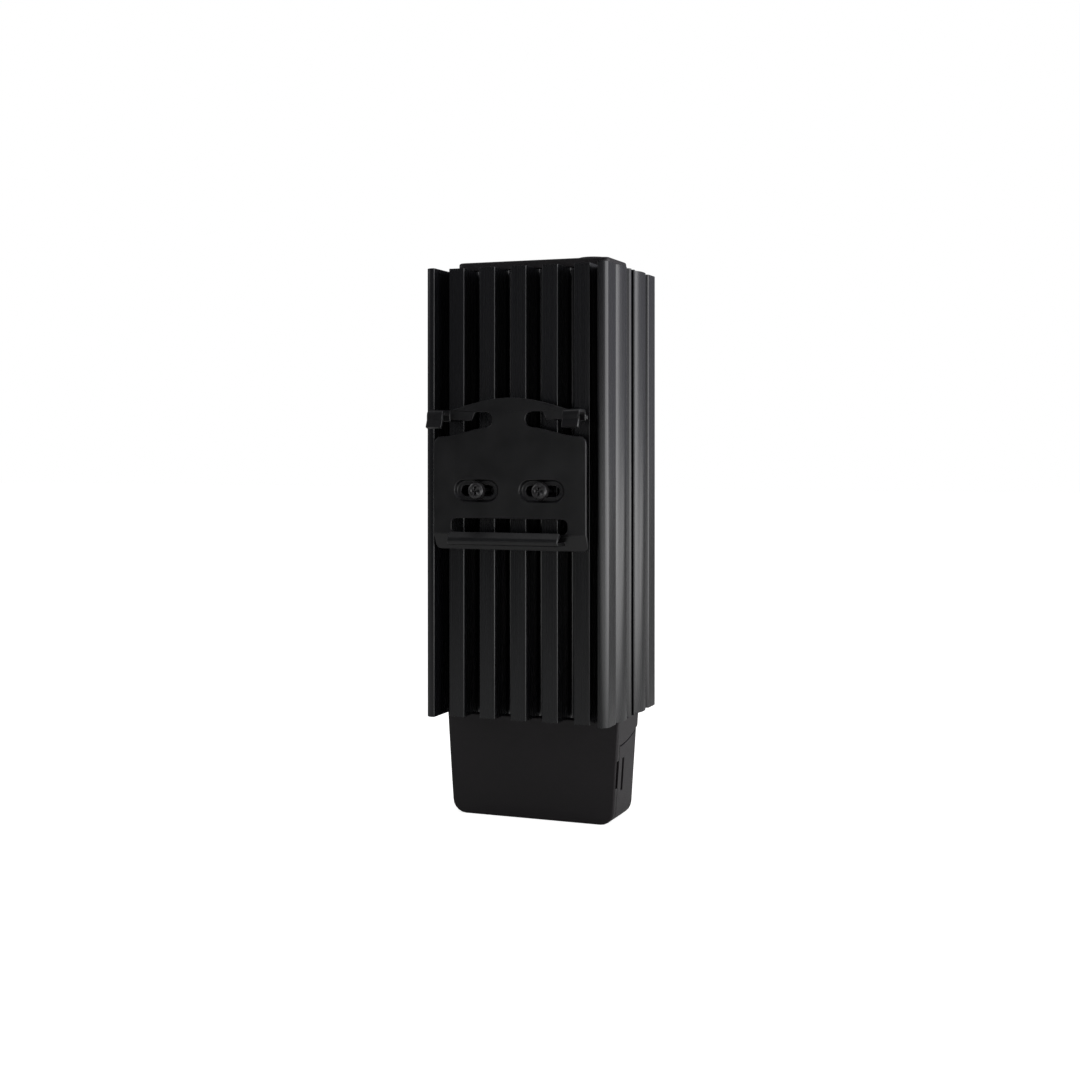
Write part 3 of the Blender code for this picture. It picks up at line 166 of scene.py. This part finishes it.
def object_vector(tree, scale):
    """Object coordinates, stretched by a scale for each axis."""
    source = tree.nodes.new("ShaderNodeTexCoord")
    mapping = tree.nodes.new("ShaderNodeMapping")
    mapping.inputs["Scale"].default_value = scale
    tree.links.new(source.outputs["Object"], mapping.inputs["Vector"])
    return mapping.outputs["Vector"]


def noise(tree, scale, detail, rough=0.5):
    """Noise over the object, with a scale for each axis in cycles per metre."""
    texture = tree.nodes.new("ShaderNodeTexNoise")
    texture.inputs["Scale"].default_value = 1.0
    texture.inputs["Detail"].default_value = detail
    texture.inputs["Roughness"].default_value = rough
    tree.links.new(object_vector(tree, scale), texture.inputs["Vector"])
    return texture.outputs["Fac"]


def colour_ramp(tree, factor, stops):
    """A ramp through (position, colour) stops."""
    ramp = tree.nodes.new("ShaderNodeValToRGB")
    elements = ramp.color_ramp.elements
    for index, (position, colour) in enumerate(stops):
        element = elements[index] if index < 2 else elements.new(position)
        element.position = position
        element.color = (*colour, 1.0)
    tree.links.new(factor, ramp.inputs["Fac"])
    return ramp.outputs["Color"]


def map_range(tree, value, source, target, smooth=False):
    """Take a value from one range of numbers to another."""
    node = tree.nodes.new("ShaderNodeMapRange")
    if smooth:
        node.interpolation_type = "SMOOTHSTEP"
    node.inputs["From Min"].default_value = source[0]
    node.inputs["From Max"].default_value = source[1]
    node.inputs["To Min"].default_value = target[0]
    node.inputs["To Max"].default_value = target[1]
    tree.links.new(value, node.inputs["Value"])
    return node.outputs["Result"]


def spread(tree, pattern, low, high):
    """Make a noise pattern run between two numbers."""
    return map_range(tree, pattern, (PATTERN_LOW, PATTERN_HIGH), (low, high))


def bump(tree, shader, height, strength, distance):
    """Raise a pattern by a distance in metres on the shader's surface."""
    node = tree.nodes.new("ShaderNodeBump")
    node.inputs["Strength"].default_value = strength
    node.inputs["Distance"].default_value = distance
    tree.links.new(height, node.inputs["Height"])
    tree.links.new(node.outputs["Normal"], shader.inputs["Normal"])


def anodised_aluminium():
    """Black anodised extrusion: fine die lines along the ribs and a slightly cloudy satin."""
    material, tree, shader = new_tree("black_anodised", roughness=0.28, specular=0.42)
    cloud = noise(tree, (40.0, 40.0, 22.0), detail=4.0)
    lines = noise(tree, (2600.0, 2600.0, 9.0), detail=2.0)
    stops = [(0.25, (0.0036, 0.0038, 0.0046)), (0.75, (0.0054, 0.0057, 0.0068))]
    tree.links.new(colour_ramp(tree, cloud, stops), shader.inputs["Base Color"])
    tree.links.new(spread(tree, lines, low=0.22, high=0.30), shader.inputs["Roughness"])
    bump(tree, shader, lines, strength=0.16, distance=0.00002)
    return material


def spring_steel():
    """Blackened stamped sheet: oil-black with a faint rolled grain and paler patches."""
    material, tree, shader = new_tree(
        "blackened_spring_steel", roughness=0.32, metallic=0.10, specular=0.45
    )
    cloud = noise(tree, (130.0, 130.0, 130.0), detail=5.0)
    grain = noise(tree, (400.0, 900.0, 2400.0), detail=2.0)
    stops = [(0.25, (0.0038, 0.0038, 0.0042)), (0.75, (0.0068, 0.0068, 0.0074))]
    tree.links.new(colour_ramp(tree, cloud, stops), shader.inputs["Base Color"])
    tree.links.new(spread(tree, cloud, low=0.28, high=0.40), shader.inputs["Roughness"])
    bump(tree, shader, grain, strength=0.30, distance=0.00002)
    return material


def screw_steel():
    """Blackened screw heads, a little more worn and shinier than the sheet."""
    material, tree, shader = new_tree("blackened_screw", roughness=0.30, metallic=0.35, specular=0.6)
    wear = noise(tree, (900.0, 900.0, 900.0), detail=4.0)
    stops = [(0.35, (0.014, 0.013, 0.014)), (0.75, (0.050, 0.049, 0.050))]
    tree.links.new(colour_ramp(tree, wear, stops), shader.inputs["Base Color"])
    tree.links.new(spread(tree, wear, low=0.26, high=0.36), shader.inputs["Roughness"])
    return material


def moulded_plastic():
    """Black moulded nylon: a fine spark-eroded grain, warm and matt."""
    material, tree, shader = new_tree("black_moulded_plastic", roughness=0.48, specular=0.34)
    grain = noise(tree, (3600.0, 3600.0, 3600.0), detail=2.0, rough=0.6)
    cloud = noise(tree, (60.0, 60.0, 60.0), detail=3.0)
    stops = [(0.25, (0.0066, 0.0052, 0.0062)), (0.75, (0.0092, 0.0072, 0.0086))]
    tree.links.new(colour_ramp(tree, cloud, stops), shader.inputs["Base Color"])
    tree.links.new(spread(tree, grain, low=0.42, high=0.55), shader.inputs["Roughness"])
    bump(tree, shader, grain, strength=0.45, distance=0.00004)
    return material


def mottled(name, dark, pale, roughness, metallic, scale):
    """A surface whose colour wanders between two tones, with a bump of the same grain."""
    material, tree, shader = new_tree(name, roughness, metallic)
    pattern = noise(tree, (scale, scale, scale), detail=3.0)
    colour = colour_ramp(tree, pattern, [(PATTERN_LOW, dark), (PATTERN_HIGH, pale)])
    rough = spread(tree, pattern, roughness - GRAIN_ROUGHNESS, roughness + GRAIN_ROUGHNESS)
    tree.links.new(colour, shader.inputs["Base Color"])
    tree.links.new(rough, shader.inputs["Roughness"])
    bump(tree, shader, pattern, GRAIN_STRENGTH, GRAIN_HEIGHT)
    return material


def rolled_aluminium():
    """Bare rolled sheet, with fine lines along its length."""
    material, tree, shader = new_tree("rolled_aluminium", roughness=0.38, metallic=1.0)
    lines = noise(tree, (3000.0, 3000.0, 25.0), detail=2.0)
    stops = [(PATTERN_LOW, (0.56, 0.56, 0.57)), (PATTERN_HIGH, (0.68, 0.68, 0.69))]
    tree.links.new(colour_ramp(tree, lines, stops), shader.inputs["Base Color"])
    bump(tree, shader, lines, GRAIN_STRENGTH, GRAIN_HEIGHT)
    return material


FINISHES = {
    "anodised_aluminium": anodised_aluminium(),
    "spring_steel": spring_steel(),
    "screw_steel": screw_steel(),
    "black_plastic": moulded_plastic(),
    "bare_aluminium": rolled_aluminium(),
}
for slot, *look in MOTTLED:
    FINISHES[slot] = mottled(*look)
NODE_SLOTS = {part["node"]: part["material_slot"] for part in frame["record"]["subparts"]}


def dress_solids():
    """Give every solid of the frame the finish of its slot."""
    for name, solid in frame["nodes"].items():
        solid.data.materials.clear()
        solid.data.materials.append(FINISHES[NODE_SLOTS[name]])


def side_profile():
    """Points of a narrow side between its land's corner and the slot's wall, in mm."""
    outer, inner = BEAD_FEET
    middle = (outer + inner) / 2
    bead = []
    for step in range(BEAD_STEPS + 1):
        across = outer + (inner - outer) * step / BEAD_STEPS
        fall = BEAD_RADIUS - math.sqrt(BEAD_RADIUS ** 2 - (across - middle) ** 2)
        bead.append((across, fall - BEAD_PROUD))
    return LAND_EDGE + bead + SLOT_LIP


def at_height(part, z):
    """Whether a face or an edge lies at a height with all its corners."""
    return all(abs(vert.co.z - z) < END_TOLERANCE for vert in part.verts)


def nearest(bm, place):
    """The corner of the mesh that stands nearest to a place."""
    return min(bm.verts, key=lambda vert: (vert.co - place).length)


def clear_sides(bm, low, high):
    """Take off the body's end faces and the stretch of each narrow side that is made anew."""
    ends = [face for face in bm.faces if at_height(face, low.z) or at_height(face, high.z)]
    bmesh.ops.delete(bm, geom=ends, context="FACES")
    centre = (low + high) / 2
    gone = []
    for vert in bm.verts:
        across = abs(vert.co.y - centre.y) / MM
        depth = (high.x - abs(vert.co.x - centre.x)) / MM
        beside = SLOT_WALL[0] - SIDE_MARGIN < across < LAND_CORNER[0] - SIDE_MARGIN
        if beside and depth < SLOT_WALL[1] - SIDE_MARGIN:
            gone.append(vert)
    bmesh.ops.delete(bm, geom=gone, context="VERTS")


def reshape_sides(bm):
    """Swap the hollow flutes of the narrow sides for the raised beads that the light shows."""
    low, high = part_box("heatsink_body")
    centre = (low + high) / 2
    clear_sides(bm, low, high)
    profile = side_profile()
    for right, front in ((1, 1), (1, -1), (-1, 1), (-1, -1)):
        rows = []
        for z in (low.z, high.z):
            places = []
            for across, depth in [LAND_CORNER] + profile + [SLOT_WALL]:
                x = right * (high.x - depth * MM)
                y = centre.y + front * across * MM
                places.append(Vector((x, y, z)))
            land = nearest(bm, places[0])
            wall = nearest(bm, places[-1])
            rows.append([land] + [bm.verts.new(place) for place in places[1:-1]] + [wall])
        lower, upper = rows
        for index in range(len(lower) - 1):
            bm.faces.new((lower[index], lower[index + 1], upper[index + 1], upper[index]))
    for z, facing in ((low.z, -1.0), (high.z, 1.0)):
        rim = [edge for edge in bm.edges if edge.is_boundary and at_height(edge, z)]
        bmesh.ops.triangle_fill(bm, use_beauty=True, edges=rim, normal=(0.0, 0.0, facing))
    bmesh.ops.recalc_face_normals(bm, faces=bm.faces)


def rounded_copy(node, name, width, segments=2, reshape=None):
    """A copy of a solid with its doubles merged and its edges rounded, in its place."""
    bm = bmesh.new()
    bm.from_mesh(frame["nodes"][node].data)
    bmesh.ops.remove_doubles(bm, verts=bm.verts, dist=MERGE_DISTANCE)
    if reshape:
        reshape(bm)
    mesh = bpy.data.meshes.new(name)
    bm.to_mesh(mesh)
    bm.free()
    mesh.shade_smooth()
    mesh.materials.append(FINISHES[NODE_SLOTS[node]])
    piece = bpy.data.objects.new(name, mesh)
    bpy.context.scene.collection.objects.link(piece)
    bevel = piece.modifiers.new("rounded_edges", "BEVEL")
    bevel.width = width
    bevel.segments = segments
    bevel.limit_method = "ANGLE"
    bevel.angle_limit = EDGE_ANGLE
    bevel.use_clamp_overlap = False
    weighted = piece.modifiers.new("flat_faces", "WEIGHTED_NORMAL")
    weighted.weight = FLAT_FACE_WEIGHT
    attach(piece, "root")
    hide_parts(node)


def finish_pieces():
    """The pieces whose rounded edges show, in place of their solids."""
    rounded_copy("heatsink_body", "body_extrusion", BODY_ROUNDING, reshape=reshape_sides)
    rounded_copy("din_clip", "rail_clip", SHEET_ROUNDING, segments=3)
    rounded_copy("top_cover", "slim_cover", SLIM_ROUNDING)
    rounded_copy("housing_base", "terminal_base", MOULDED_ROUNDING)
    rounded_copy("housing_cover", "terminal_cover", MOULDED_ROUNDING)
    rounded_copy("cable_grommet", "entry_grommet", RUBBER_ROUNDING)
    rounded_copy("clip_screw_left", "left_clip_screw", SCREW_ROUNDING)
    rounded_copy("clip_screw_right", "right_clip_screw", SCREW_ROUNDING)
    rounded_copy("top_cover_screw", "cover_screw", SCREW_ROUNDING)


def calculate(tree, operation, *values):
    """One step of arithmetic over values that are sockets or plain numbers."""
    node = tree.nodes.new("ShaderNodeMath")
    node.operation = operation
    for value, socket in zip(values, node.inputs):
        if isinstance(value, float):
            socket.default_value = value
        else:
            tree.links.new(value, socket)
    return node.outputs["Value"]


def pick_rays(tree, *names):
    """1 for the kinds of ray that are named, 0 for the others."""
    path = tree.nodes.new("ShaderNodeLightPath")
    result = path.outputs[names[0]]
    for name in names[1:]:
        result = calculate(tree, "MAXIMUM", result, path.outputs[name])
    return result


def mix_colours(tree, factor, first, second):
    """The first colour where the factor is 0 and the second where it is 1."""
    node = tree.nodes.new("ShaderNodeMix")
    node.data_type = "RGBA"
    tree.links.new(factor, node.inputs["Factor"])
    for value, name in ((first, "A"), (second, "B")):
        if isinstance(value, tuple):
            node.inputs[name].default_value = value
        else:
            tree.links.new(value, node.inputs[name])
    return node.outputs["Result"]


def grey(level):
    return (level, level, level, 1.0)


def make_world():
    """White for the camera; in reflections a room that is dim in front and lighter to the right."""
    world = bpy.data.worlds.new("studio")
    bpy.context.scene.world = world
    world.use_nodes = True
    tree = world.node_tree
    direction = tree.nodes.new("ShaderNodeTexCoord")
    parts = tree.nodes.new("ShaderNodeSeparateXYZ")
    tree.links.new(direction.outputs["Generated"], parts.inputs["Vector"])
    bearing = calculate(tree, "ARCTAN2", parts.outputs["Y"], parts.outputs["X"])
    turn = map_range(tree, bearing, (-math.pi, math.pi), (0.0, 1.0))
    stops = []
    for degrees, level in ROOM_LEVELS:
        stops.append(((degrees + 180) / 360, [level * part for part in ROOM_TINT]))
    room = colour_ramp(tree, turn, stops)
    reflected = mix_colours(tree, pick_rays(tree, "Is Glossy Ray"), grey(AMBIENT_LEVEL), room)
    direct = pick_rays(tree, "Is Camera Ray", "Is Transmission Ray")
    seen = mix_colours(tree, direct, reflected, grey(BACKGROUND_WHITE))
    tree.links.new(seen, tree.nodes["Background"].inputs["Color"])


def distance_along(tree, direction):
    """How far a place on the floor lies from the origin in a direction, in metres."""
    place = tree.nodes.new("ShaderNodeTexCoord")
    node = tree.nodes.new("ShaderNodeVectorMath")
    node.operation = "DOT_PRODUCT"
    node.inputs[1].default_value = direction
    tree.links.new(place.outputs["Object"], node.inputs[0])
    return node.outputs["Value"]


def floor_paint(tree):
    """Pale round the object, and in reflections dim further off in front of it and behind it."""
    behind = distance_along(tree, CAMERA_DIRECTION)
    front_span = (-TABLE_FADE_END, -TABLE_FADE_START)
    table = map_range(tree, behind, front_span, (DIM_FLOOR, PALE_FLOOR), smooth=True)
    rear = map_range(tree, behind, (REAR_FADE_START, REAR_FADE_END), (1.0, REAR_FLOOR), smooth=True)
    paint = tree.nodes.new("ShaderNodeMix")
    paint.inputs["A"].default_value = PALE_FLOOR
    tree.links.new(pick_rays(tree, "Is Glossy Ray"), paint.inputs["Factor"])
    tree.links.new(calculate(tree, "MULTIPLY", table, rear), paint.inputs["B"])
    return paint.outputs["Result"]


def floor_glow(tree):
    """What the floor adds: white for the camera, and a bright side to the right in reflections."""
    right = distance_along(tree, SIDE_DIRECTION)
    side = map_range(tree, right, (SIDE_GLOW_START, SIDE_GLOW_END), (0.0, SIDE_GLOW), smooth=True)
    mirrored = calculate(tree, "MULTIPLY", side, pick_rays(tree, "Is Glossy Ray"))
    direct = pick_rays(tree, "Is Camera Ray", "Is Transmission Ray")
    return calculate(tree, "MULTIPLY_ADD", direct, FLOOR_GLOW, mirrored)


def make_floor():
    """A pale floor under the housing, white as the background where no shadow falls."""
    bm = bmesh.new()
    bmesh.ops.create_grid(bm, x_segments=1, y_segments=1, size=FLOOR_HALF)
    bmesh.ops.translate(bm, verts=bm.verts, vec=(0.0, 0.0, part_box("housing_cover")[0].z))
    mesh = bpy.data.meshes.new("floor")
    bm.to_mesh(mesh)
    bm.free()
    floor = bpy.data.objects.new("floor", mesh)
    bpy.context.scene.collection.objects.link(floor)
    material = bpy.data.materials.new("pale_floor")
    material.use_nodes = True
    tree = material.node_tree
    tree.nodes.clear()
    out = tree.nodes.new("ShaderNodeOutputMaterial")
    plain = tree.nodes.new("ShaderNodeBsdfDiffuse")
    tree.links.new(floor_paint(tree), plain.inputs["Color"])
    glow = tree.nodes.new("ShaderNodeEmission")
    tree.links.new(floor_glow(tree), glow.inputs["Strength"])
    lit = tree.nodes.new("ShaderNodeAddShader")
    tree.links.new(plain.outputs["BSDF"], lit.inputs[0])
    tree.links.new(glow.outputs["Emission"], lit.inputs[1])
    tree.links.new(lit.outputs["Shader"], out.inputs["Surface"])
    mesh.materials.append(material)


def area_light(name, place, width, height, power):
    """A softbox that faces the object's middle."""
    light = bpy.data.lights.new(name, "AREA")
    light.shape = "RECTANGLE"
    light.size = width
    light.size_y = height
    light.energy = power
    lamp = bpy.data.objects.new(name, light)
    lamp.location = place
    lamp.rotation_euler = (Vector(OBJECT_MIDDLE) - Vector(place)).to_track_quat("-Z", "Y").to_euler()
    bpy.context.scene.collection.objects.link(lamp)


def make_lights():
    for softbox in SOFTBOXES:
        area_light(*softbox)


def make_camera():
    data = bpy.data.cameras.new("photo_camera")
    data.sensor_width = SENSOR_MM
    data.lens = FOCAL_PIXELS * SENSOR_MM / FRAME_PIXELS
    data.shift_y = (HORIZON_PIXEL - FRAME_PIXELS / 2) / FRAME_PIXELS
    data.clip_start = CLIP_START
    camera = bpy.data.objects.new("photo_camera", data)
    camera.location = CAMERA_PLACE
    camera.rotation_euler = Vector(CAMERA_DIRECTION).to_track_quat("-Z", "Y").to_euler()
    bpy.context.scene.collection.objects.link(camera)
    bpy.context.scene.camera = camera


bpy.context.scene.view_settings.view_transform = "Standard"
dress_solids()
finish_pieces()
make_world()
make_floor()
make_lights()
make_camera()
